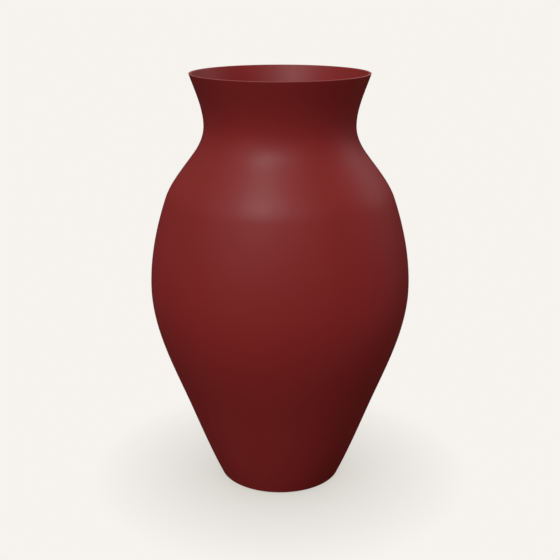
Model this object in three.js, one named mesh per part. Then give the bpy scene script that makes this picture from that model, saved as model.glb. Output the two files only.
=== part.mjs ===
// A tall amphora-shaped vase without handles, thrown on the wheel in sections that are
// luted together with slip: a foot ring, a lower body with the floor, an upper body with
// the shoulder, and a neck that flares to a thin flat lip. A coil of clay closes each
// seam of the wall on the inside.
// Millimetres, +Z up, with the origin at the centre of the foot ring's resting face.
import * as THREE from "three";

// Outline of the outside, from the foot up. Each station has its rise above the one below,
// its radius, and the wall's lean in degrees: positive outwards, negative inwards.
const FOOT_EDGE_RISE = 0.4;
const FOOT_EDGE_RADIUS = 53.8;
const FOOT_EDGE_LEAN = 25;
const LOWER_WALL_RISE = 74.6;
const LOWER_WALL_RADIUS = 83.6;
const LOWER_WALL_LEAN = 21;
const BELLY_RISE = 103;
const BELLY_RADIUS = 112.5;
const HAUNCH_RISE = 77;
const HAUNCH_RADIUS = 98;
const HAUNCH_LEAN = -19;
const SHOULDER_RISE = 38;
const SHOULDER_RADIUS = 73.2;
const SHOULDER_LEAN = -36;
const NECK_RISE = 24;
const NECK_RADIUS = 64.2;
const LIP_RISE = 43;
const LIP_RADIUS = 75.7;
const LIP_LEAN = 19;

// Thickness of the wall, square to its outside
const FOOT_WALL = 7;
const BELLY_WALL = 5;
const NECK_WALL = 4.4;
const LIP_EDGE = 2;

// Floor, the recess under it, and the softened edges
const RECESS_DEPTH = 3;
const FLOOR_THICKNESS = 7;
const FLOOR_FILLET = 9;
const FOOT_ARRIS = 0.6;
const LIP_ARRIS = 0.5;

// Foot ring, set in a groove that is turned in the underside
const RING_SETBACK = 4;
const RING_WIDTH = 8;
const GROOVE_DEPTH = 2;
const RING_ARRIS = 1;

// Luted joints: an inner tongue on the lower section stands inside the skirt of the upper
// one. The belly joint is at the belly's height, and the neck joint above the shoulder.
const NECK_JOINT_RISE = 9;
const TONGUE_HEIGHT = 5;
const SLIP_GAP = 0.3;

// Coils pressed over the seams inside, thickest at their middle
const COIL_HEIGHT = 12;
const COIL_EDGE = 0.4;
const COIL_SWELL = 1.4;

// Facets: how many go round the axis, how far the outline's straight steps may stand off
// its curve, the steps of a small rounded edge and of a coil, and the shortest step
const FACETS = 64;
const CHORD_ERROR = 0.22;
const ARRIS_STEPS = 3;
const COIL_STEPS = 4;
const LEAST_STEP = 1.5;

const RED_GLAZE = new THREE.MeshStandardMaterial({
  name: "red_glaze",
  color: 0x7c2321,
  roughness: 0.42,
  metalness: 0,
});
const BARE_CLAY = new THREE.MeshStandardMaterial({
  name: "bare_clay",
  color: 0x9a6a52,
  roughness: 0.9,
  metalness: 0,
});

const slopeOf = (lean) => Math.tan(THREE.MathUtils.degToRad(lean));

// Heights follow from the rises, so a station stays above the one below it.
const footEdge = FOOT_EDGE_RISE;
const lowerWall = footEdge + LOWER_WALL_RISE;
const belly = lowerWall + BELLY_RISE;
const haunch = belly + HAUNCH_RISE;
const shoulder = haunch + SHOULDER_RISE;
const neck = shoulder + NECK_RISE;
const lip = neck + LIP_RISE;

const STATIONS = [
  { z: footEdge, radius: FOOT_EDGE_RADIUS, slope: slopeOf(FOOT_EDGE_LEAN) },
  { z: lowerWall, radius: LOWER_WALL_RADIUS, slope: slopeOf(LOWER_WALL_LEAN) },
  { z: belly, radius: BELLY_RADIUS, slope: 0 },
  { z: haunch, radius: HAUNCH_RADIUS, slope: slopeOf(HAUNCH_LEAN) },
  { z: shoulder, radius: SHOULDER_RADIUS, slope: slopeOf(SHOULDER_LEAN) },
  { z: neck, radius: NECK_RADIUS, slope: 0 },
  { z: lip, radius: LIP_RADIUS, slope: slopeOf(LIP_LEAN) },
];

const WALLS = [
  { z: footEdge, wall: FOOT_WALL },
  { z: belly, wall: BELLY_WALL },
  { z: neck, wall: NECK_WALL },
  { z: lip, wall: LIP_EDGE },
];

const bellyJoint = belly;
const neckJoint = shoulder + NECK_JOINT_RISE;
const underside = RECESS_DEPTH;
const floorTop = underside + FLOOR_THICKNESS;
const grooveTop = underside + GROOVE_DEPTH;
const ringOuter = FOOT_EDGE_RADIUS - RING_SETBACK;
const ringInner = ringOuter - RING_WIDTH;

// The pair of neighbours in a list ordered by z that hold a height between them, and how
// far up between them it lies, from 0 to 1 (a little outside that past the two ends).
function between(list, z) {
  let i = 0;
  while (i < list.length - 2 && z > list[i + 1].z) i += 1;
  const low = list[i];
  const high = list[i + 1];
  return { low, high, span: high.z - low.z, t: (z - low.z) / (high.z - low.z) };
}

// Outside radius and slope at a height: a cubic through the stations that has each
// station's own slope there, so the wall runs smoothly from one stretch to the next.
function outside(z) {
  const { low, high, span, t } = between(STATIONS, z);
  const radius =
    (1 + 2 * t) * (1 - t) ** 2 * low.radius +
    t * (1 - t) ** 2 * span * low.slope +
    t * t * (3 - 2 * t) * high.radius +
    t * t * (t - 1) * span * high.slope;
  const slope =
    (6 * t * (1 - t) * (high.radius - low.radius)) / span +
    (1 - t) * (1 - 3 * t) * low.slope +
    t * (3 * t - 2) * high.slope;
  return { radius, slope };
}

const outerRadius = (z) => outside(z).radius;

// Across a leaning wall, the level thickness is more than the thickness square to it.
function innerRadius(z) {
  const { radius, slope } = outside(z);
  const { low, high, t } = between(WALLS, z);
  const wall = THREE.MathUtils.lerp(low.wall, high.wall, t);
  return radius - wall * Math.hypot(1, slope);
}

const middleRadius = (z) => (outerRadius(z) + innerRadius(z)) / 2;

const point = (radius, z) => new THREE.Vector2(radius, z);

// Heights between two others at which the outline takes a point: a stretch is halved until
// the middle of each step lies close enough to the curve.
function stepsUp(from, to) {
  const middle = (from + to) / 2;
  const chordMiddle = (outerRadius(from) + outerRadius(to)) / 2;
  if (Math.abs(outerRadius(middle) - chordMiddle) < CHORD_ERROR) return [to];
  return [...stepsUp(from, middle), ...stepsUp(middle, to)];
}

// The sections share these heights inside and out, so that their facets match.
const SHARED_HEIGHTS = STATIONS.slice(1).flatMap((high, i) => stepsUp(STATIONS[i].z, high.z));

// Points along a surface, given as radius by height, from one height to another
function along(radiusAt, from, to) {
  const low = Math.min(from, to) + LEAST_STEP;
  const high = Math.max(from, to) - LEAST_STEP;
  const inner = SHARED_HEIGHTS.filter((z) => z > low && z < high);
  const heights = from < to ? inner : inner.reverse();
  return [from, ...heights, to].map((z) => point(radiusAt(z), z));
}

// A rounded corner from one point to another, both on the edges that meet at the corner
function softened(from, corner, to) {
  return new THREE.QuadraticBezierCurve(from, corner, to).getPoints(ARRIS_STEPS);
}

// Top of a section: a ledge under the next skirt, and the tongue that stands inside it
function tongue(joint) {
  const top = joint + TONGUE_HEIGHT;
  return [
    point(middleRadius(joint) - SLIP_GAP / 2, joint),
    point(middleRadius(top) - SLIP_GAP / 2, top),
  ];
}

// Bottom of a section, from the inside out: the socket over the tongue below it
function socket(joint) {
  const ceiling = joint + TONGUE_HEIGHT + SLIP_GAP;
  return [
    point(middleRadius(ceiling) + SLIP_GAP / 2, ceiling),
    point(middleRadius(joint) + SLIP_GAP / 2, joint),
  ];
}

// A named piece turned about +Z from a half section. Its points go anticlockwise with the
// radius to the right, and it closes on itself or starts and ends on the axis.
function turned(name, section, material) {
  const closes = section[0].x > 0;
  const outline = closes ? [...section, section[0].clone()] : section;
  const geometry = new THREE.LatheGeometry(outline, FACETS);
  geometry.rotateX(Math.PI / 2);
  const mesh = new THREE.Mesh(geometry, material);
  mesh.name = name;
  return mesh;
}

function footRing() {
  const r = RING_ARRIS;
  return turned(
    "foot_ring",
    [
      ...softened(point(ringInner, r), point(ringInner, 0), point(ringInner + r, 0)),
      ...softened(point(ringOuter - r, 0), point(ringOuter, 0), point(ringOuter, r)),
      point(ringOuter, grooveTop),
      point(ringInner, grooveTop),
    ],
    BARE_CLAY,
  );
}

function lowerBody() {
  const edge = point(FOOT_EDGE_RADIUS, footEdge);
  const edgeTop = footEdge + FOOT_ARRIS;
  const filletTop = floorTop + FLOOR_FILLET;
  const floorCorner = point(innerRadius(floorTop), floorTop);
  return turned(
    "lower_body",
    [
      point(0, underside),
      point(ringInner - SLIP_GAP, underside),
      point(ringInner - SLIP_GAP, grooveTop),
      point(ringOuter + SLIP_GAP, grooveTop),
      point(ringOuter + SLIP_GAP, footEdge),
      ...softened(
        point(FOOT_EDGE_RADIUS - FOOT_ARRIS, footEdge),
        edge,
        point(outerRadius(edgeTop), edgeTop),
      ),
      ...along(outerRadius, edgeTop, bellyJoint).slice(1),
      ...tongue(bellyJoint),
      ...along(innerRadius, bellyJoint + TONGUE_HEIGHT, filletTop),
      ...softened(
        point(innerRadius(filletTop), filletTop),
        floorCorner,
        point(floorCorner.x - FLOOR_FILLET, floorTop),
      ).slice(1),
      point(0, floorTop),
    ],
    RED_GLAZE,
  );
}

function upperBody() {
  return turned(
    "upper_body",
    [
      ...along(outerRadius, bellyJoint, neckJoint),
      ...tongue(neckJoint),
      ...along(
        innerRadius,
        neckJoint + TONGUE_HEIGHT,
        bellyJoint + TONGUE_HEIGHT + SLIP_GAP,
      ),
      ...socket(bellyJoint),
    ],
    RED_GLAZE,
  );
}

function neckAndLip() {
  const arrisFoot = lip - LIP_ARRIS;
  const inside = innerRadius(lip);
  return turned(
    "neck_and_lip",
    [
      ...along(outerRadius, neckJoint, arrisFoot),
      ...softened(
        point(outerRadius(arrisFoot), arrisFoot),
        point(LIP_RADIUS, lip),
        point(LIP_RADIUS - LIP_ARRIS, lip),
      ).slice(1),
      ...softened(
        point(inside + LIP_ARRIS, lip),
        point(inside, lip),
        point(innerRadius(arrisFoot), arrisFoot),
      ),
      ...along(
        innerRadius,
        arrisFoot,
        neckJoint + TONGUE_HEIGHT + SLIP_GAP,
      ).slice(1),
      ...socket(neckJoint),
    ],
    RED_GLAZE,
  );
}

// A flattened coil over a seam, a film of slip off the wall that it is pressed against
function seamCoil(name, joint) {
  const seam = joint + TONGUE_HEIGHT;
  const shares = Array.from({ length: COIL_STEPS + 1 }, (_, k) => (2 * k) / COIL_STEPS - 1);
  const heightAt = (share) => seam + (share * COIL_HEIGHT) / 2;
  const back = (z) => innerRadius(z) - SLIP_GAP;
  const wallSide = shares.map((share) => point(back(heightAt(share)), heightAt(share)));
  const roomSide = shares.map((share) => {
    const thickness = COIL_EDGE + COIL_SWELL * (1 - share * share);
    return point(back(heightAt(share)) - thickness, heightAt(share));
  });
  return turned(name, [...wallSide, ...roomSide.reverse()], RED_GLAZE);
}

const vase = new THREE.Group();
vase.add(
  footRing(),
  lowerBody(),
  seamCoil("belly_seam_coil", bellyJoint),
  upperBody(),
  seamCoil("neck_seam_coil", neckJoint),
  neckAndLip(),
);

export default vase;
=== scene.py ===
"""Looks for a tall amphora-shaped vase without handles, thrown in sections and glazed dark red.

The sections, the coils over their seams and the foot ring are turned from outlines that follow
the frame's sizes. They meet flush, so the wall runs in one curve from the foot to the lip.
"""

from math import cos, hypot, pi, radians, sin, tan

import bpy
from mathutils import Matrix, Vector


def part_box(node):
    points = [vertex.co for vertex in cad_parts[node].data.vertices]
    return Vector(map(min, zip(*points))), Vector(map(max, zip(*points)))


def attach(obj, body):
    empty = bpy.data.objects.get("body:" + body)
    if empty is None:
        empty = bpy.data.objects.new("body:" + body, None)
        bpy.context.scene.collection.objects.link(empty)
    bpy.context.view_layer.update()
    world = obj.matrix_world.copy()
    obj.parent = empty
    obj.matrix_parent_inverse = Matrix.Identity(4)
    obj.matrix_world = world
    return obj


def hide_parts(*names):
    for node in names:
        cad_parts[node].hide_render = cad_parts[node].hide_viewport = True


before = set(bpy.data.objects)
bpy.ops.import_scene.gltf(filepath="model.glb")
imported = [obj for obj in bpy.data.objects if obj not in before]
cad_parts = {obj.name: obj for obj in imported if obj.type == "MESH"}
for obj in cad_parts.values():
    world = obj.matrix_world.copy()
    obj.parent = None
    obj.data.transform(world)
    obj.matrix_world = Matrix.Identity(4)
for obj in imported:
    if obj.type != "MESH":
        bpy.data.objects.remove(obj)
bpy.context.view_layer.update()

# Lowest and highest corners of the frame's nodes
RING_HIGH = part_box("foot_ring")[1]
LOWER_BODY_LOW, LOWER_BODY_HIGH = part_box("lower_body")
UPPER_BODY_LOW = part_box("upper_body")[0]
NECK_LOW, NECK_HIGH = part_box("neck_and_lip")
COIL_LOW, COIL_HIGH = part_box("belly_seam_coil")

bl_info = {
    "name": "Amphora-shaped vase",
    "version": (1, 0, 0),
    "blender": (4, 5, 0),
    "location": "3D View > Sidebar > Vase",
    "description": "Turns the vase's sections from their outline, glazes them and lights them",
    "category": "Add Mesh",
}

# Heights of the wall's stations off the ground, and of the joint above the shoulder
FOOT_EDGE = LOWER_BODY_LOW.z
LOWER_WALL = 0.075
BELLY = UPPER_BODY_LOW.z
HAUNCH = 0.255
SHOULDER = 0.293
NECK_JOINT = NECK_LOW.z
NECK = 0.317
LIP = NECK_HIGH.z

# From the foot edge in to the foot ring
RING_SETBACK = 0.004

# Fineness of the meshes: facets round the axis, the height of one step along a wall, the steps
# of a rounded edge and of a coil, and facets round the ground
FACETS = 240
WALL_STEP = 0.0014
EDGE_STEPS = 6
COIL_STEPS = 10
GROUND_FACETS = 96

# Points closer than this are one, and edges sharper than this stay crisp
MERGE_DISTANCE = 1e-6
SHARP_ANGLE = radians(35)

# Radii of the points across the floor, as shares of the floor's flat part
FLOOR_SHARES = (0.6, 0.4, 0.2, 0.0)

# Finger ridges inside: the size of the patches where they are worn, and how far they vary
RIDGE_PATCH_SCALE = 26.0
RIDGE_VARIATION = 1.6
RIDGE_SEED = 4.0

# The skin's unevenness is this much finer than the drift of tone
SKIN_FINENESS = 9.0

# Glaze: its refraction and gloss, the scales of its tone and grain, the range of drift over
# which its tone turns, how far its roughness varies, and the relief of its skin
GLAZE_IOR = 1.45
GLAZE_SPECULAR = 0.3
GLAZE_SCALES = {"Drift_Scale": 13.0, "Grain_Scale": 1500.0}
GLAZE_DRIFT = (0.3, 0.7)
GLAZE_ROUGHNESS_RANGE = 0.05
GLAZE_LINE_SPACING = 0.0011
GLAZE_LINE_SHARE = 0.2
GLAZE_GRAIN_SHARE = 0.25
GLAZE_RELIEF = 0.00002

# Glaze over the lip: how far under the lip's top it starts to thin, how ragged that line is,
# and how much lighter it gets. The lighter top is partly thinner glaze, partly a painted
# highlight.
LIP_THINNING_AND_HIGHLIGHT_START = 0.0003
LIP_THINNING_AND_HIGHLIGHT_RAGGED = 0.0002
LIP_PALE_AND_HIGHLIGHT_SHARE = 0.85

# Bare clay: the scales of its tone and grain, the range of grain that shows as specks, how
# dark the specks and the drift get, its roughness, and the relief that the tool leaves
CLAY_SCALES = {"Drift_Scale": 30.0, "Grain_Scale": 1100.0}
CLAY_SPECKS = (0.56, 0.68)
CLAY_SPECK_SHARE = 0.7
CLAY_DRIFT_SHARE = 0.5
CLAY_ROUGHNESS = 0.82
CLAY_ROUGHNESS_RANGE = 0.12
CLAY_LINE_SPACING = 0.0007
CLAY_LINE_SHARE = 0.7
CLAY_GRAIN_SHARE = 0.3
CLAY_RELIEF = 0.00015

# The body that the vase rides on
BODY = "root"

# Stage: how many rays find the ground's shade, the width of the camera's film in millimetres,
# and how far from the vase the lamps are drawn
SHADOW_SAMPLES = 16
SENSOR_WIDTH = 36
LAMP_DISTANCE = 2.0

# Distant soft lamps: azimuth from the camera's side towards +X, elevation, strength, and how
# wide each one stands in the sky. Angles are in degrees. The fills don't show in the gloss.
LAMPS = {
    "key": (-25, 49, 1.45, 19),
    "key_right": (12, 46, 0.43, 35),
    "front": (-2, 10, 0.23, 76),
    "left": (-44, 35, 0.58, 63),
    "right": (118, 24, 0.18, 24),
    "back": (162, 41, 0.49, 66),
}
FILLS = {
    "back_left_fill": (-140, 25, 0.76, 100),
    "right_fill": (39, 2, 0.44, 15),
    "back_fill": (172, 2, 1.00, 120),
    "high_back_fill": (162, 41, 0.27, 66),
    "low_right_fill": (106, 8, 0.33, 40),
}


def length(name, description, default):
    """A length that a user can change."""
    return bpy.props.FloatProperty(
        name=name, description=description, default=default, min=0.0, precision=4, unit="LENGTH")


def tilt(name, description, degrees):
    """An angle that a user can change. A wall's is positive where it leans out as it rises."""
    return bpy.props.FloatProperty(
        name=name, description=description, default=radians(degrees), subtype="ANGLE")


def colour(name, description, default):
    """A colour that a user can change."""
    return bpy.props.FloatVectorProperty(
        name=name, description=description, default=default, size=3, min=0.0, max=1.0,
        subtype="COLOR")


def share(name, description, default):
    """A share from nothing to all that a user can change."""
    return bpy.props.FloatProperty(
        name=name, description=description, default=default, min=0.0, max=1.0, subtype="FACTOR")


class VaseOutline(bpy.types.PropertyGroup):
    """The outside of the wall, from the foot up: each station's rise, radius and lean."""

    foot_edge_rise: length("Foot edge rise", "Height of the wall's foot off the ground", FOOT_EDGE)
    foot_edge_radius: length("Foot edge radius", "Radius of the wall at its foot",
                             RING_HIGH.x + RING_SETBACK)
    foot_edge_lean: tilt("Foot edge lean", "Lean of the wall at its foot", 25)
    lower_wall_rise: length("Lower wall rise", "From the foot edge up to the lower wall",
                            LOWER_WALL - FOOT_EDGE)
    lower_wall_radius: length("Lower wall radius", "Radius of the lower wall", 0.0836)
    lower_wall_lean: tilt("Lower wall lean", "Lean of the lower wall", 21)
    belly_rise: length("Belly rise", "From the lower wall up to the belly", BELLY - LOWER_WALL)
    belly_radius: length("Belly radius", "Radius of the belly, the widest point",
                         LOWER_BODY_HIGH.x)
    haunch_rise: length("Haunch rise", "From the belly up to the haunch", HAUNCH - BELLY)
    haunch_radius: length("Haunch radius", "Radius where the shoulder starts to turn in", 0.098)
    haunch_lean: tilt("Haunch lean", "Lean of the wall at the haunch", -19)
    shoulder_rise: length("Shoulder rise", "From the haunch up to the shoulder", SHOULDER - HAUNCH)
    shoulder_radius: length("Shoulder radius", "Radius at the shoulder's steepest part", 0.0732)
    shoulder_lean: tilt("Shoulder lean", "Lean of the wall on the shoulder", -36)
    neck_rise: length("Neck rise", "From the shoulder up to the waist of the neck",
                      NECK - SHOULDER)
    neck_radius: length("Neck radius", "Radius of the neck's waist", 0.0642)
    lip_rise: length("Lip rise", "From the neck's waist up to the lip", LIP - NECK)
    lip_radius: length("Lip radius", "Radius of the lip", 0.0757)
    lip_lean: tilt("Lip lean", "Lean of the mouth's flare at the lip", 19)


class VaseWall(bpy.types.PropertyGroup):
    """Thicknesses, edges, joints and the marks that the potter's hand leaves."""

    foot_wall: length("Foot wall", "Thickness of the wall at the foot", 0.007)
    belly_wall: length("Belly wall", "Thickness of the wall at the belly", 0.005)
    neck_wall: length("Neck wall", "Thickness of the wall at the neck's waist", 0.0044)
    lip_edge: length("Lip edge", "Thickness of the wall at the lip", 0.002)
    recess_depth: length("Recess depth", "Height of the floor's underside off the ground", 0.003)
    floor_thickness: length("Floor thickness", "Thickness of the floor", 0.007)
    floor_fillet: length("Floor fillet", "Rounding between the floor and the wall", 0.009)
    foot_arris: length("Foot arris", "Rounding of the wall's lower edge", 0.0006)
    lip_arris: length("Lip arris", "Rounding of the lip's edges", 0.0005)
    ring_setback: length("Ring setback", "From the foot edge in to the foot ring", RING_SETBACK)
    ring_width: length("Ring width", "Width of the foot ring", 0.008)
    groove_depth: length("Groove depth", "Depth of the groove that the ring is set in", 0.002)
    ring_arris: length("Ring arris", "Rounding of the ring's edges", 0.001)
    neck_joint_rise: length("Neck joint rise", "From the shoulder up to the neck's joint",
                            NECK_JOINT - SHOULDER)
    tongue_height: length("Tongue height", "Height of the tongue inside a joint",
                          LOWER_BODY_HIGH.z - UPPER_BODY_LOW.z)
    slip_gap: length("Slip gap", "Film of slip in a joint", 0.0003)
    coil_height: length("Coil height", "Height of a coil over a seam", COIL_HIGH.z - COIL_LOW.z)
    coil_edge: length("Coil edge", "Thickness of a coil at its edges", 0.0004)
    coil_swell: length("Coil swell", "How much thicker a coil is at its middle", 0.0014)
    ridge_depth: length("Ridge depth", "Depth of the finger ridges inside", 0.00025)
    ridge_pitch: length("Ridge pitch", "From one finger ridge inside to the next", 0.0085)


class VaseFinish(bpy.types.PropertyGroup):
    """Colours of the glaze, the clay and the ground."""

    glaze: colour("Glaze", "The glaze at its usual thickness", (0.2550, 0.0221, 0.0201))
    glaze_deep: colour("Deep glaze", "The glaze where it lies thicker", (0.2450, 0.0211, 0.0193))
    # Lighter colour for the lip's top: partly thin glaze, partly a painted highlight along the lip
    thin_glaze_and_lip_highlight: colour("Thin glaze", "The glaze where it thins over the lip", (0.31, 0.060, 0.053))
    clay: colour("Bare clay", "The fired clay of the foot ring", (0.40, 0.22, 0.14))
    clay_dark: colour("Dark clay", "Grog and iron in the fired clay", (0.25, 0.13, 0.08))
    ground: colour("Ground", "The pale ground and backdrop", (0.922, 0.896, 0.855))
    ground_shadow: colour("Ground shadow", "The ground where it is shaded", (0.503, 0.470, 0.428))
    glaze_roughness: share("Glaze roughness", "Roughness of the satin glaze", 0.466)
    glaze_body: share("Glaze body", "How matt the colour under the glaze's gloss is", 0.3)


class VaseStudio(bpy.types.PropertyGroup):
    """The camera, the ground and the room's light."""

    camera_distance: length("Camera distance", "From the vase's axis to the camera", 0.8294)
    camera_height: length("Camera height", "Height of the camera", 0.4372)
    camera_pitch: tilt("Camera pitch", "How far the camera looks down", 17.213)
    camera_lens: bpy.props.FloatProperty(
        name="Lens", description="Focal length", default=63.35, min=1.0, unit="CAMERA")
    ground_radius: length("Ground radius", "Radius of the ground", 1.6)
    shadow_reach: length("Shadow reach", "How far the vase shades the ground round it", 0.11)
    ground_bounce: share("Ground bounce", "How much light the ground throws back up", 0.018)
    room_light: share("Room light", "Strength of the room's light straight overhead", 0.077)


class VaseSettings(bpy.types.PropertyGroup):
    """Everything that a user would change."""

    outline: bpy.props.PointerProperty(type=VaseOutline)
    wall: bpy.props.PointerProperty(type=VaseWall)
    finish: bpy.props.PointerProperty(type=VaseFinish)
    studio: bpy.props.PointerProperty(type=VaseStudio)


# Outline of the wall

class Profile:
    """The wall's outline, worked out from the settings, with its heights from the ground up."""

    def __init__(self, settings):
        o = settings.outline
        w = settings.wall
        self.foot_edge = o.foot_edge_rise
        lower_wall = self.foot_edge + o.lower_wall_rise
        self.belly = lower_wall + o.belly_rise
        haunch = self.belly + o.haunch_rise
        shoulder = haunch + o.shoulder_rise
        neck = shoulder + o.neck_rise
        self.lip = neck + o.lip_rise
        self.neck_joint = shoulder + w.neck_joint_rise
        self.stations = [
            (self.foot_edge, o.foot_edge_radius, tan(o.foot_edge_lean)),
            (lower_wall, o.lower_wall_radius, tan(o.lower_wall_lean)),
            (self.belly, o.belly_radius, 0.0),
            (haunch, o.haunch_radius, tan(o.haunch_lean)),
            (shoulder, o.shoulder_radius, tan(o.shoulder_lean)),
            (neck, o.neck_radius, 0.0),
            (self.lip, o.lip_radius, tan(o.lip_lean)),
        ]
        self.walls = [
            (self.foot_edge, w.foot_wall),
            (self.belly, w.belly_wall),
            (neck, w.neck_wall),
            (self.lip, w.lip_edge),
        ]
        self.underside = w.recess_depth
        self.floor_top = self.underside + w.floor_thickness
        self.groove_top = self.underside + w.groove_depth
        self.ring_outer = o.foot_edge_radius - w.ring_setback
        self.ring_inner = self.ring_outer - w.ring_width
        self.tongue_height = w.tongue_height
        self.slip_gap = w.slip_gap

    def outside(self, z):
        """Radius and slope of the outside: a cubic between stations, with their own slopes."""
        (z0, r0, m0), (z1, r1, m1), t = between(self.stations, z)
        span = z1 - z0
        radius = ((1 + 2 * t) * (1 - t) ** 2 * r0 + t * (1 - t) ** 2 * span * m0
                  + t * t * (3 - 2 * t) * r1 + t * t * (t - 1) * span * m1)
        slope = (6 * t * (1 - t) * (r1 - r0) / span
                 + (1 - t) * (1 - 3 * t) * m0 + t * (3 * t - 2) * m1)
        return radius, slope

    def outer(self, z):
        return self.outside(z)[0]

    def inner(self, z):
        """Radius of the inside: across a leaning wall, level is further than square to it."""
        radius, slope = self.outside(z)
        (_, low), (_, high), t = between(self.walls, z)
        return radius - (low + (high - low) * t) * hypot(1, slope)

    def middle(self, z):
        return (self.outer(z) + self.inner(z)) / 2


def between(rows, z):
    """The rows that hold a height between them, and how far up between them it lies."""
    i = 0
    while i < len(rows) - 2 and z > rows[i + 1][0]:
        i += 1
    low, high = rows[i], rows[i + 1]
    return low, high, (z - low[0]) / (high[0] - low[0])


def spread(start, end, count):
    """Evenly spread values, both ends included."""
    return [start + (end - start) * k / count for k in range(count + 1)]


def along(radius_at, start, end, inside=0.0):
    """Outline points (radius, height, inside) along a wall from one height to another."""
    count = max(2, round(abs(end - start) / WALL_STEP))
    return [(radius_at(z), z, inside) for z in spread(start, end, count)]


def softened(start, corner, end):
    """A rounded corner between two points that lie on the edges meeting at it."""
    points = []
    for t in spread(0.0, 1.0, EDGE_STEPS):
        weights = ((1 - t) ** 2, 2 * t * (1 - t), t * t)
        rows = (start, corner, end)
        points.append(tuple(sum(w * row[axis] for w, row in zip(weights, rows)) for axis in (0, 1))
                      + (0.0,))
    return points


def tongue(profile, joint):
    """Top of a section: a ledge under the next skirt, and the tongue that stands inside it."""
    top = joint + profile.tongue_height
    half = profile.slip_gap / 2
    return [(profile.middle(joint) - half, joint, 0.0), (profile.middle(top) - half, top, 0.0)]


def socket(profile, joint):
    """Bottom of a section, from the inside out: the socket over the tongue below it."""
    ceiling = joint + profile.tongue_height + profile.slip_gap
    half = profile.slip_gap / 2
    return [(profile.middle(ceiling) + half, ceiling, 0.0),
            (profile.middle(joint) + half, joint, 0.0)]


def foot_ring_outline(profile, wall):
    inner, outer, r = profile.ring_inner, profile.ring_outer, wall.ring_arris
    return (softened((inner, r), (inner, 0.0), (inner + r, 0.0))
            + softened((outer - r, 0.0), (outer, 0.0), (outer, r))
            + [(outer, profile.groove_top, 0.0), (inner, profile.groove_top, 0.0)])


def lower_body_outline(profile, wall):
    foot = profile.foot_edge
    foot_radius = profile.outer(foot)
    edge_top = foot + wall.foot_arris
    floor = profile.floor_top
    fillet_top = floor + wall.floor_fillet
    floor_corner = profile.inner(floor)
    tongue_top = profile.belly + profile.tongue_height
    groove_in = profile.ring_inner - profile.slip_gap
    groove_out = profile.ring_outer + profile.slip_gap
    return (
        [(0.0, profile.underside, 0.0), (groove_in, profile.underside, 0.0),
         (groove_in, profile.groove_top, 0.0), (groove_out, profile.groove_top, 0.0),
         (groove_out, foot, 0.0)]
        + softened((foot_radius - wall.foot_arris, foot), (foot_radius, foot),
                   (profile.outer(edge_top), edge_top))
        + along(profile.outer, edge_top, profile.belly)[1:]
        + tongue(profile, profile.belly)
        + along(profile.inner, tongue_top, fillet_top, inside=1.0)
        + softened((profile.inner(fillet_top), fillet_top), (floor_corner, floor),
                   (floor_corner - wall.floor_fillet, floor))[1:]
        + [(floor_corner * part, floor, 0.0) for part in FLOOR_SHARES])


def upper_body_outline(profile):
    tongue_top = profile.neck_joint + profile.tongue_height
    ceiling = profile.belly + profile.tongue_height + profile.slip_gap
    return (along(profile.outer, profile.belly, profile.neck_joint)
            + tongue(profile, profile.neck_joint)
            + along(profile.inner, tongue_top, ceiling, inside=1.0)
            + socket(profile, profile.belly))


def neck_and_lip_outline(profile, wall):
    lip = profile.lip
    arris = wall.lip_arris
    arris_foot = lip - arris
    outside = profile.outer(lip)
    inside = profile.inner(lip)
    ceiling = profile.neck_joint + profile.tongue_height + profile.slip_gap
    return (along(profile.outer, profile.neck_joint, arris_foot)
            + softened((profile.outer(arris_foot), arris_foot), (outside, lip),
                       (outside - arris, lip))[1:]
            + softened((inside + arris, lip), (inside, lip),
                       (profile.inner(arris_foot), arris_foot))
            + along(profile.inner, arris_foot, ceiling)[1:]
            + socket(profile, profile.neck_joint))


def seam_coil_outline(profile, wall, joint):
    seam = joint + profile.tongue_height
    shares = spread(-1.0, 1.0, COIL_STEPS)
    wall_side = []
    room_side = []
    for k in shares:
        z = seam + k * wall.coil_height / 2
        back = profile.inner(z) - profile.slip_gap
        wall_side.append((back, z, 0.0))
        room_side.append((back - wall.coil_edge - wall.coil_swell * (1 - k * k), z, 0.0))
    return wall_side + room_side[::-1]


# Turning, as a node tree

def add_node(tree, kind, **values):
    """Adds a node and sets its properties by name."""
    node = tree.nodes.new(kind)
    for key, value in values.items():
        setattr(node, key, value)
    return node


def feed(tree, node, **inputs):
    """Sets or links a node's inputs by name, with _ for a space."""
    for key, value in inputs.items():
        socket_in = node.inputs[key.replace("_", " ")]
        if isinstance(value, bpy.types.NodeSocket):
            tree.links.new(value, socket_in)
        else:
            socket_in.default_value = value
    return node


def maths(tree, operation, *operands):
    """A Math node's result, from sockets or numbers."""
    node = add_node(tree, "ShaderNodeMath", operation=operation)
    for socket_in, value in zip(node.inputs, operands):
        if isinstance(value, bpy.types.NodeSocket):
            tree.links.new(value, socket_in)
        else:
            socket_in.default_value = value
    return node.outputs[0]


TREE_INPUTS = (
    ("Outline", "NodeSocketGeometry", None),
    ("Facets", "NodeSocketInt", FACETS),
    ("Ridge Depth", "NodeSocketFloat", 0.0),
    ("Ridge Pitch", "NodeSocketFloat", 0.01),
    ("Ridge Seed", "NodeSocketFloat", RIDGE_SEED),
    ("Material", "NodeSocketMaterial", None),
)


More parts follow.
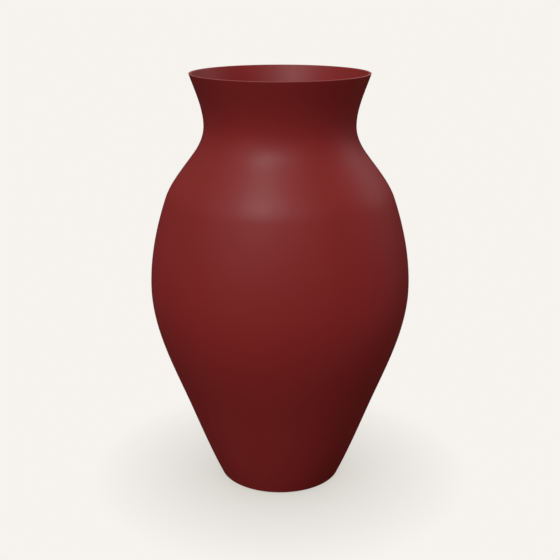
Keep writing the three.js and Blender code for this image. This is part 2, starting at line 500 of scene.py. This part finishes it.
def turning_tree():
    """A node tree that turns an outline about +Z, with finger ridges winding up its inside."""
    name = "turned_on_the_wheel"
    if name in bpy.data.node_groups:
        return bpy.data.node_groups[name]
    tree = bpy.data.node_groups.new(name, "GeometryNodeTree")
    for label, kind, default in TREE_INPUTS:
        item = tree.interface.new_socket(label, in_out="INPUT", socket_type=kind)
        if default is not None:
            item.default_value = default
    tree.interface.new_socket("Turned", in_out="OUTPUT", socket_type="NodeSocketGeometry")
    given = add_node(tree, "NodeGroupInput").outputs
    outline = given["Outline"]

    # A grid has a column for each facet and a row for each of the outline's points.
    size = feed(tree, add_node(tree, "GeometryNodeAttributeDomainSize"), Geometry=outline)
    rows = size.outputs["Point Count"]
    columns = maths(tree, "ADD", given["Facets"], 1)
    grid = feed(tree, add_node(tree, "GeometryNodeMeshGrid"), Vertices_X=columns, Vertices_Y=rows)
    index = add_node(tree, "GeometryNodeInputIndex").outputs[0]
    row = maths(tree, "FLOORED_MODULO", index, rows)
    column = maths(tree, "FLOOR", maths(tree, "DIVIDE", maths(tree, "ADD", index, 0.5), rows))
    turn = maths(tree, "DIVIDE", column, given["Facets"])
    angle = maths(tree, "MULTIPLY_ADD", turn, 2 * pi, pi / 2)

    def sampled(value, data_type):
        """The outline's own value at each grid point."""
        node = add_node(tree, "GeometryNodeSampleIndex", data_type=data_type, domain="POINT")
        return feed(tree, node, Geometry=outline, Value=value, Index=row).outputs[0]

    place = sampled(add_node(tree, "GeometryNodeInputPosition").outputs[0], "FLOAT_VECTOR")
    read = add_node(tree, "GeometryNodeInputNamedAttribute", data_type="FLOAT")
    inside = sampled(feed(tree, read, Name="inside").outputs[0], "FLOAT")
    parts = feed(tree, add_node(tree, "ShaderNodeSeparateXYZ"), Vector=place)
    radius, height = parts.outputs["X"], parts.outputs["Z"]

    # The ridges wind up once a pitch and are worn away here and there.
    phase = maths(tree, "SUBTRACT", maths(tree, "DIVIDE", height, given["Ridge Pitch"]), turn)
    wave = maths(tree, "SINE", maths(tree, "MULTIPLY", phase, 2 * pi))
    swell = maths(tree, "MULTIPLY_ADD", wave, 0.5, 0.5)
    wear = add_node(tree, "ShaderNodeTexNoise", noise_dimensions="4D")
    feed(tree, wear, Vector=place, W=given["Ridge Seed"], Scale=RIDGE_PATCH_SCALE, Detail=1.0)
    kept = maths(tree, "MULTIPLY", wear.outputs[0], RIDGE_VARIATION)
    worn = maths(tree, "MULTIPLY", swell, kept)
    ridge = maths(tree, "MULTIPLY", maths(tree, "MULTIPLY", worn, inside), given["Ridge Depth"])
    turned_radius = maths(tree, "SUBTRACT", radius, ridge)
    point = feed(tree, add_node(tree, "ShaderNodeCombineXYZ"),
                 X=maths(tree, "MULTIPLY", turned_radius, maths(tree, "COSINE", angle)),
                 Y=maths(tree, "MULTIPLY", turned_radius, maths(tree, "SINE", angle)),
                 Z=height)

    # The last column meets the first, and each point on the axis becomes one.
    moved = feed(tree, add_node(tree, "GeometryNodeSetPosition"),
                 Geometry=grid.outputs["Mesh"], Position=point.outputs[0])
    merged = feed(tree, add_node(tree, "GeometryNodeMergeByDistance"),
                  Geometry=moved.outputs[0], Distance=MERGE_DISTANCE)
    smooth = feed(tree, add_node(tree, "GeometryNodeSetShadeSmooth", domain="FACE"),
                  Geometry=merged.outputs[0], Shade_Smooth=True)
    bend = add_node(tree, "GeometryNodeInputMeshEdgeAngle").outputs["Unsigned Angle"]
    crisp = feed(tree, add_node(tree, "GeometryNodeSetShadeSmooth", domain="EDGE"),
                 Geometry=smooth.outputs[0], Shade_Smooth=False,
                 Selection=maths(tree, "GREATER_THAN", bend, SHARP_ANGLE))
    whole = feed(tree, add_node(tree, "GeometryNodeRealizeInstances"), Geometry=crisp.outputs[0])
    coated = feed(tree, add_node(tree, "GeometryNodeSetMaterial"),
                  Geometry=whole.outputs[0], Material=given["Material"])
    result = add_node(tree, "NodeGroupOutput")
    tree.links.new(coated.outputs[0], result.inputs[0])
    return tree


def outline_mesh(name, outline):
    """A wire of the outline's points, closed unless it starts on the axis."""
    points = list(outline)
    if points[0][0] > 0:
        points.append(points[0])
    mesh = bpy.data.meshes.new(name)
    edges = [(i, i + 1) for i in range(len(points) - 1)]
    mesh.from_pydata([(r, 0.0, z) for r, z, _ in points], edges, [])
    inside = mesh.attributes.new("inside", "FLOAT", "POINT")
    inside.data.foreach_set("value", [p[2] for p in points])
    return mesh


def turned_piece(name, outline, node, material, ridge_depth, ridge_pitch):
    """A piece turned from its outline, which stands for a CAD node and rides with the vase."""
    piece = bpy.data.objects.new(name, outline_mesh(name + "_outline", outline))
    bpy.context.scene.collection.objects.link(piece)
    tree = turning_tree()
    modifier = piece.modifiers.new("Turned", "NODES")
    modifier.node_group = tree
    values = {"Facets": FACETS, "Ridge Depth": ridge_depth, "Ridge Pitch": ridge_pitch,
              "Material": material}
    for item in tree.interface.items_tree:
        if item.item_type == "SOCKET" and item.in_out == "INPUT" and item.name in values:
            modifier[item.identifier] = values[item.name]
    evaluated = piece.evaluated_get(bpy.context.evaluated_depsgraph_get())
    mesh = bpy.data.meshes.new_from_object(evaluated)
    if not mesh.polygons:
        raise RuntimeError("no surface was turned for " + name)
    mesh.name = name
    piece.modifiers.remove(modifier)
    piece.data = mesh
    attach(piece, BODY)
    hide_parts(node)
    return piece


# Materials

def shader_group(name, inputs, outputs):
    """A shader node group with named inputs and outputs; returns it, its inputs and its end."""
    tree = bpy.data.node_groups.new(name, "ShaderNodeTree")
    for label, kind, default in inputs:
        item = tree.interface.new_socket(label, in_out="INPUT", socket_type=kind)
        if default is not None:
            item.default_value = default
    for label, kind in outputs:
        tree.interface.new_socket(label, in_out="OUTPUT", socket_type=kind)
    return tree, add_node(tree, "NodeGroupInput").outputs, add_node(tree, "NodeGroupOutput").inputs


def turned_lines_group():
    """Fine level lines that a turning tool or a sponge leaves, as a height from 0 to 1."""
    name = "turned_lines"
    if name in bpy.data.node_groups:
        return bpy.data.node_groups[name]
    tree, given, result = shader_group(
        name,
        [("Place", "NodeSocketVector", None), ("Spacing", "NodeSocketFloat", 0.001),
         ("Along Radius", "NodeSocketFloat", 0.0)],
        [("Height", "NodeSocketFloat")])
    parts = feed(tree, add_node(tree, "ShaderNodeSeparateXYZ"), Vector=given["Place"]).outputs
    level = maths(tree, "SQRT", maths(
        tree, "ADD", maths(tree, "MULTIPLY", parts["X"], parts["X"]),
        maths(tree, "MULTIPLY", parts["Y"], parts["Y"])))
    run = maths(tree, "ADD", parts["Z"], maths(tree, "MULTIPLY", level, given["Along Radius"]))
    count = maths(tree, "DIVIDE", run, given["Spacing"])
    noise = add_node(tree, "ShaderNodeTexNoise", noise_dimensions="1D")
    feed(tree, noise, W=count, Scale=1.0, Detail=2.0, Roughness=0.6)
    tree.links.new(noise.outputs[0], result["Height"])
    return tree


def fired_surface_group():
    """Slow drift of tone, small grain, and a skin that is not quite even."""
    name = "fired_surface"
    if name in bpy.data.node_groups:
        return bpy.data.node_groups[name]
    tree, given, result = shader_group(
        name,
        [("Place", "NodeSocketVector", None), ("Drift Scale", "NodeSocketFloat", 14.0),
         ("Grain Scale", "NodeSocketFloat", 900.0)],
        [("Drift", "NodeSocketFloat"), ("Grain", "NodeSocketFloat"), ("Skin", "NodeSocketFloat")])
    drift = add_node(tree, "ShaderNodeTexNoise")
    feed(tree, drift, Vector=given["Place"], Scale=given["Drift Scale"], Detail=3.0, Roughness=0.5)
    grain = add_node(tree, "ShaderNodeTexNoise")
    feed(tree, grain, Vector=given["Place"], Scale=given["Grain Scale"], Detail=2.0)
    skin = add_node(tree, "ShaderNodeTexNoise")
    skin_scale = maths(tree, "MULTIPLY", given["Drift Scale"], SKIN_FINENESS)
    feed(tree, skin, Vector=given["Place"], Scale=skin_scale, Detail=1.0, Roughness=0.4)
    tree.links.new(drift.outputs[0], result["Drift"])
    tree.links.new(grain.outputs[0], result["Grain"])
    tree.links.new(skin.outputs[0], result["Skin"])
    return tree


def new_material(name):
    """An empty node material with its Principled BSDF and output; returns it and the tree."""
    material = bpy.data.materials.new(name)
    material.use_nodes = True
    tree = material.node_tree
    tree.nodes.clear()
    shader = add_node(tree, "ShaderNodeBsdfPrincipled")
    end = add_node(tree, "ShaderNodeOutputMaterial")
    tree.links.new(shader.outputs[0], end.inputs["Surface"])
    return material, tree, shader


def placed_group(tree, group, **inputs):
    """A shader group placed in a material; returns its outputs."""
    return feed(tree, add_node(tree, "ShaderNodeGroup", node_tree=group), **inputs).outputs


def ramp(tree, value, start, end):
    """0 below start, 1 above end, and eased between them."""
    node = add_node(tree, "ShaderNodeMapRange", interpolation_type="SMOOTHSTEP")
    feed(tree, node, Value=value, From_Min=start, From_Max=end)
    return node.outputs[0]


def blended(tree, factor, first, second):
    """Two colours, each a socket or a plain colour, mixed by a factor's socket."""
    node = add_node(tree, "ShaderNodeMix", data_type="RGBA")
    sockets = {s.identifier: s for s in node.inputs}
    pairs = (("Factor_Float", factor), ("A_Color", first), ("B_Color", second))
    for key, value in pairs:
        if isinstance(value, bpy.types.NodeSocket):
            tree.links.new(value, sockets[key])
        else:
            sockets[key].default_value = (*value, 1.0)
    return next(s for s in node.outputs if s.identifier == "Result_Color")


def bumped(tree, height, distance):
    """A Bump node's normal from a height that runs from 0 to 1."""
    bump = add_node(tree, "ShaderNodeBump")
    return feed(tree, bump, Height=height, Distance=distance).outputs[0]


def red_glaze(settings):
    """Satin dark red glaze: a slow drift of tone, and lighter over the lip's top.

    The lighter top is partly thinner glaze and partly a painted highlight along the lip.
    """
    name = "red_glaze_finish"
    if name in bpy.data.materials:
        return bpy.data.materials[name]
    finish = settings.finish
    profile = Profile(settings)
    material, tree, shader = new_material(name)
    place = add_node(tree, "ShaderNodeTexCoord").outputs["Object"]
    fired = placed_group(tree, fired_surface_group(), Place=place, **GLAZE_SCALES)
    lines = placed_group(tree, turned_lines_group(), Place=place,
                         Spacing=GLAZE_LINE_SPACING)["Height"]
    height = feed(tree, add_node(tree, "ShaderNodeSeparateXYZ"), Vector=place).outputs["Z"]

    usual = ramp(tree, fired["Drift"], *GLAZE_DRIFT)
    tone = blended(tree, usual, finish.glaze_deep, finish.glaze)
    # Lighter over the lip's top: partly the thinner glaze, partly a painted highlight along the
    # lip
    ragged = maths(tree, "MULTIPLY_ADD", fired["Skin"], LIP_THINNING_AND_HIGHLIGHT_RAGGED, -LIP_THINNING_AND_HIGHLIGHT_RAGGED / 2)
    lip_thinning_and_highlight = ramp(tree, maths(tree, "ADD", height, ragged), profile.lip - LIP_THINNING_AND_HIGHLIGHT_START,
                    profile.lip)
    lip_paler_and_highlight = maths(tree, "MULTIPLY", lip_thinning_and_highlight, LIP_PALE_AND_HIGHLIGHT_SHARE)
    coloured = blended(tree, lip_paler_and_highlight, tone, finish.thin_glaze_and_lip_highlight)
    tree.links.new(coloured, shader.inputs["Base Color"])
    roughness = maths(tree, "MULTIPLY_ADD", fired["Skin"], GLAZE_ROUGHNESS_RANGE,
                      finish.glaze_roughness - GLAZE_ROUGHNESS_RANGE / 2)
    tree.links.new(roughness, shader.inputs["Roughness"])
    relief = maths(tree, "ADD", maths(tree, "MULTIPLY", fired["Grain"], GLAZE_GRAIN_SHARE),
                   maths(tree, "MULTIPLY", lines, GLAZE_LINE_SHARE))
    tree.links.new(bumped(tree, relief, GLAZE_RELIEF), shader.inputs["Normal"])
    shader.inputs["IOR"].default_value = GLAZE_IOR
    shader.inputs["Specular IOR Level"].default_value = GLAZE_SPECULAR
    shader.inputs["Diffuse Roughness"].default_value = finish.glaze_body
    return material


def bare_clay(settings):
    """Fired clay without glaze: matt, with grog showing and lines from the turning tool."""
    name = "bare_clay_finish"
    if name in bpy.data.materials:
        return bpy.data.materials[name]
    finish = settings.finish
    material, tree, shader = new_material(name)
    place = add_node(tree, "ShaderNodeTexCoord").outputs["Object"]
    fired = placed_group(tree, fired_surface_group(), Place=place, **CLAY_SCALES)
    lines = placed_group(tree, turned_lines_group(), Place=place, Spacing=CLAY_LINE_SPACING,
                         Along_Radius=1.0)["Height"]
    specks = maths(tree, "MULTIPLY", ramp(tree, fired["Grain"], *CLAY_SPECKS), CLAY_SPECK_SHARE)
    tone = blended(tree, specks, finish.clay, finish.clay_dark)
    shade = maths(tree, "MULTIPLY", fired["Drift"], CLAY_DRIFT_SHARE)
    tree.links.new(blended(tree, shade, tone, finish.clay_dark), shader.inputs["Base Color"])
    roughness = maths(tree, "MULTIPLY_ADD", fired["Skin"], CLAY_ROUGHNESS_RANGE, CLAY_ROUGHNESS)
    tree.links.new(roughness, shader.inputs["Roughness"])
    relief = maths(tree, "ADD", maths(tree, "MULTIPLY", lines, CLAY_LINE_SHARE),
                   maths(tree, "MULTIPLY", fired["Grain"], CLAY_GRAIN_SHARE))
    tree.links.new(bumped(tree, relief, CLAY_RELIEF), shader.inputs["Normal"])
    return material


# Ground, backdrop and light

def backdrop_seen(tree):
    """1 for rays that show the backdrop: from the camera, through glass or sharply off metal."""
    rays = add_node(tree, "ShaderNodeLightPath").outputs
    sharp = maths(tree, "MULTIPLY", rays["Is Glossy Ray"], rays["Is Singular Ray"])
    straight = maths(tree, "MAXIMUM", rays["Is Camera Ray"], rays["Is Transmission Ray"])
    return maths(tree, "MAXIMUM", straight, sharp)


def ground_material(settings):
    """Pale ground: to the camera, the backdrop's colour under the vase's soft shadow."""
    studio, finish = settings.studio, settings.finish
    material = bpy.data.materials.new("pale_ground")
    material.use_nodes = True
    tree = material.node_tree
    tree.nodes.clear()
    open_sky = feed(tree, add_node(tree, "ShaderNodeAmbientOcclusion", samples=SHADOW_SAMPLES),
                    Distance=studio.shadow_reach).outputs["AO"]
    seen = feed(tree, add_node(tree, "ShaderNodeEmission"),
                Color=blended(tree, open_sky, finish.ground_shadow, finish.ground))
    bounce = add_node(tree, "ShaderNodeBsdfDiffuse")
    thrown_back = (studio.ground_bounce * c for c in finish.ground)
    bounce.inputs["Color"].default_value = (*thrown_back, 1.0)
    mixed = add_node(tree, "ShaderNodeMixShader")
    tree.links.new(backdrop_seen(tree), mixed.inputs[0])
    tree.links.new(bounce.outputs[0], mixed.inputs[1])
    tree.links.new(seen.outputs[0], mixed.inputs[2])
    end = add_node(tree, "ShaderNodeOutputMaterial")
    tree.links.new(mixed.outputs[0], end.inputs["Surface"])
    return material


def ground(settings):
    """A round flat ground that the vase stands on."""
    mesh = bpy.data.meshes.new("ground")
    radius = settings.studio.ground_radius
    turns = [2 * pi * k / GROUND_FACETS for k in range(GROUND_FACETS)]
    rim = [(radius * cos(turn), radius * sin(turn), 0.0) for turn in turns]
    mesh.from_pydata(rim, [], [tuple(range(GROUND_FACETS))])
    mesh.materials.append(ground_material(settings))
    plane = bpy.data.objects.new("ground", mesh)
    bpy.context.scene.collection.objects.link(plane)


def studio_world(settings):
    """Pale to the camera; to the vase, a room that grows brighter from the horizon up."""
    world = bpy.data.worlds.new("studio")
    world.use_nodes = True
    tree = world.node_tree
    tree.nodes.clear()
    direction = add_node(tree, "ShaderNodeTexCoord").outputs["Generated"]
    up = feed(tree, add_node(tree, "ShaderNodeSeparateXYZ"), Vector=direction).outputs["Z"]
    room = add_node(tree, "ShaderNodeBackground")
    tree.links.new(maths(tree, "MULTIPLY", maths(tree, "MAXIMUM", up, 0.0),
                         settings.studio.room_light), room.inputs["Strength"])
    room.inputs["Color"].default_value = (1.0, 1.0, 1.0, 1.0)
    backdrop = add_node(tree, "ShaderNodeBackground")
    backdrop.inputs["Color"].default_value = (*settings.finish.ground, 1.0)
    mixed = add_node(tree, "ShaderNodeMixShader")
    tree.links.new(backdrop_seen(tree), mixed.inputs[0])
    tree.links.new(room.outputs[0], mixed.inputs[1])
    tree.links.new(backdrop.outputs[0], mixed.inputs[2])
    end = add_node(tree, "ShaderNodeOutputWorld")
    tree.links.new(mixed.outputs[0], end.inputs["Surface"])
    bpy.context.scene.world = world


def lamp(name, azimuth, elevation, strength, spread_angle, in_gloss=True):
    """A distant soft lamp that shines towards the vase."""
    data = bpy.data.lights.new(name, "SUN")
    data.energy = strength
    data.angle = radians(spread_angle)
    light = bpy.data.objects.new(name, data)
    a, e = radians(azimuth), radians(elevation)
    towards = Vector((sin(a) * cos(e), -cos(a) * cos(e), sin(e)))
    light.location = towards * LAMP_DISTANCE
    light.visible_glossy = in_gloss
    light.rotation_euler = towards.to_track_quat("Z", "Y").to_euler()
    bpy.context.scene.collection.objects.link(light)


def camera(settings):
    """A camera at the photograph's height and pitch, square to the vase."""
    studio = settings.studio
    data = bpy.data.cameras.new("camera")
    data.lens = studio.camera_lens
    data.sensor_width = SENSOR_WIDTH
    view = bpy.data.objects.new("camera", data)
    view.location = (0.0, -studio.camera_distance, studio.camera_height)
    view.rotation_euler = (pi / 2 - studio.camera_pitch, 0.0, 0.0)
    bpy.context.scene.collection.objects.link(view)
    bpy.context.scene.camera = view


# Operators

class VASE_OT_foot_ring(bpy.types.Operator):
    """Turn the bare ring that the vase stands on"""

    bl_idname = "vase.foot_ring"
    bl_label = "Foot ring"
    bl_options = {"REGISTER", "UNDO"}

    def execute(self, context):
        settings = context.scene.vase_settings
        outline = foot_ring_outline(Profile(settings), settings.wall)
        turned_piece("turned_foot_ring", outline, "foot_ring",
                     bare_clay(settings), 0.0, settings.wall.ridge_pitch)
        return {"FINISHED"}


class VASE_OT_wall_sections(bpy.types.Operator):
    """Turn the lower body, the upper body and the neck with its lip"""

    bl_idname = "vase.wall_sections"
    bl_label = "Wall sections"
    bl_options = {"REGISTER", "UNDO"}

    def execute(self, context):
        settings = context.scene.vase_settings
        wall = settings.wall
        profile = Profile(settings)
        sections = {
            "lower_body": lower_body_outline(profile, wall),
            "upper_body": upper_body_outline(profile),
            "neck_and_lip": neck_and_lip_outline(profile, wall),
        }
        for node, outline in sections.items():
            turned_piece("glazed_" + node, outline, node, red_glaze(settings),
                         wall.ridge_depth, wall.ridge_pitch)
        return {"FINISHED"}


class VASE_OT_seam_coils(bpy.types.Operator):
    """Turn the coils of clay that close the wall's seams inside"""

    bl_idname = "vase.seam_coils"
    bl_label = "Seam coils"
    bl_options = {"REGISTER", "UNDO"}

    def execute(self, context):
        settings = context.scene.vase_settings
        profile = Profile(settings)
        joints = {"belly_seam_coil": profile.belly, "neck_seam_coil": profile.neck_joint}
        for node, joint in joints.items():
            outline = seam_coil_outline(profile, settings.wall, joint)
            turned_piece("glazed_" + node, outline, node, red_glaze(settings),
                         0.0, settings.wall.ridge_pitch)
        return {"FINISHED"}


class VASE_OT_stage(bpy.types.Operator):
    """Set up the ground, the backdrop, the lamps and the camera"""

    bl_idname = "vase.stage"
    bl_label = "Stage"
    bl_options = {"REGISTER", "UNDO"}

    def execute(self, context):
        settings = context.scene.vase_settings
        context.scene.view_settings.view_transform = "Standard"
        camera(settings)
        ground(settings)
        studio_world(settings)
        for name, values in LAMPS.items():
            lamp(name, *values)
        for name, values in FILLS.items():
            lamp(name, *values, in_gloss=False)
        return {"FINISHED"}


class VASE_PT_panel(bpy.types.Panel):
    """Lists what makes the vase and its stage"""

    bl_idname = "VASE_PT_panel"
    bl_label = "Amphora-shaped vase"
    bl_space_type = "VIEW_3D"
    bl_region_type = "UI"
    bl_category = "Vase"

    def draw(self, context):
        for operator in OPERATORS:
            self.layout.operator(operator.bl_idname)


SETTINGS = (VaseOutline, VaseWall, VaseFinish, VaseStudio, VaseSettings)
OPERATORS = (VASE_OT_stage, VASE_OT_wall_sections, VASE_OT_seam_coils, VASE_OT_foot_ring)


def register():
    for cls in (*SETTINGS, *OPERATORS, VASE_PT_panel):
        bpy.utils.register_class(cls)
    bpy.types.Scene.vase_settings = bpy.props.PointerProperty(type=VaseSettings)


def unregister():
    del bpy.types.Scene.vase_settings
    for cls in reversed((*SETTINGS, *OPERATORS, VASE_PT_panel)):
        bpy.utils.unregister_class(cls)


def main():
    register()
    bpy.ops.vase.stage()
    bpy.ops.vase.wall_sections()
    bpy.ops.vase.seam_coils()
    bpy.ops.vase.foot_ring()


if __name__ == "__main__":
    main()
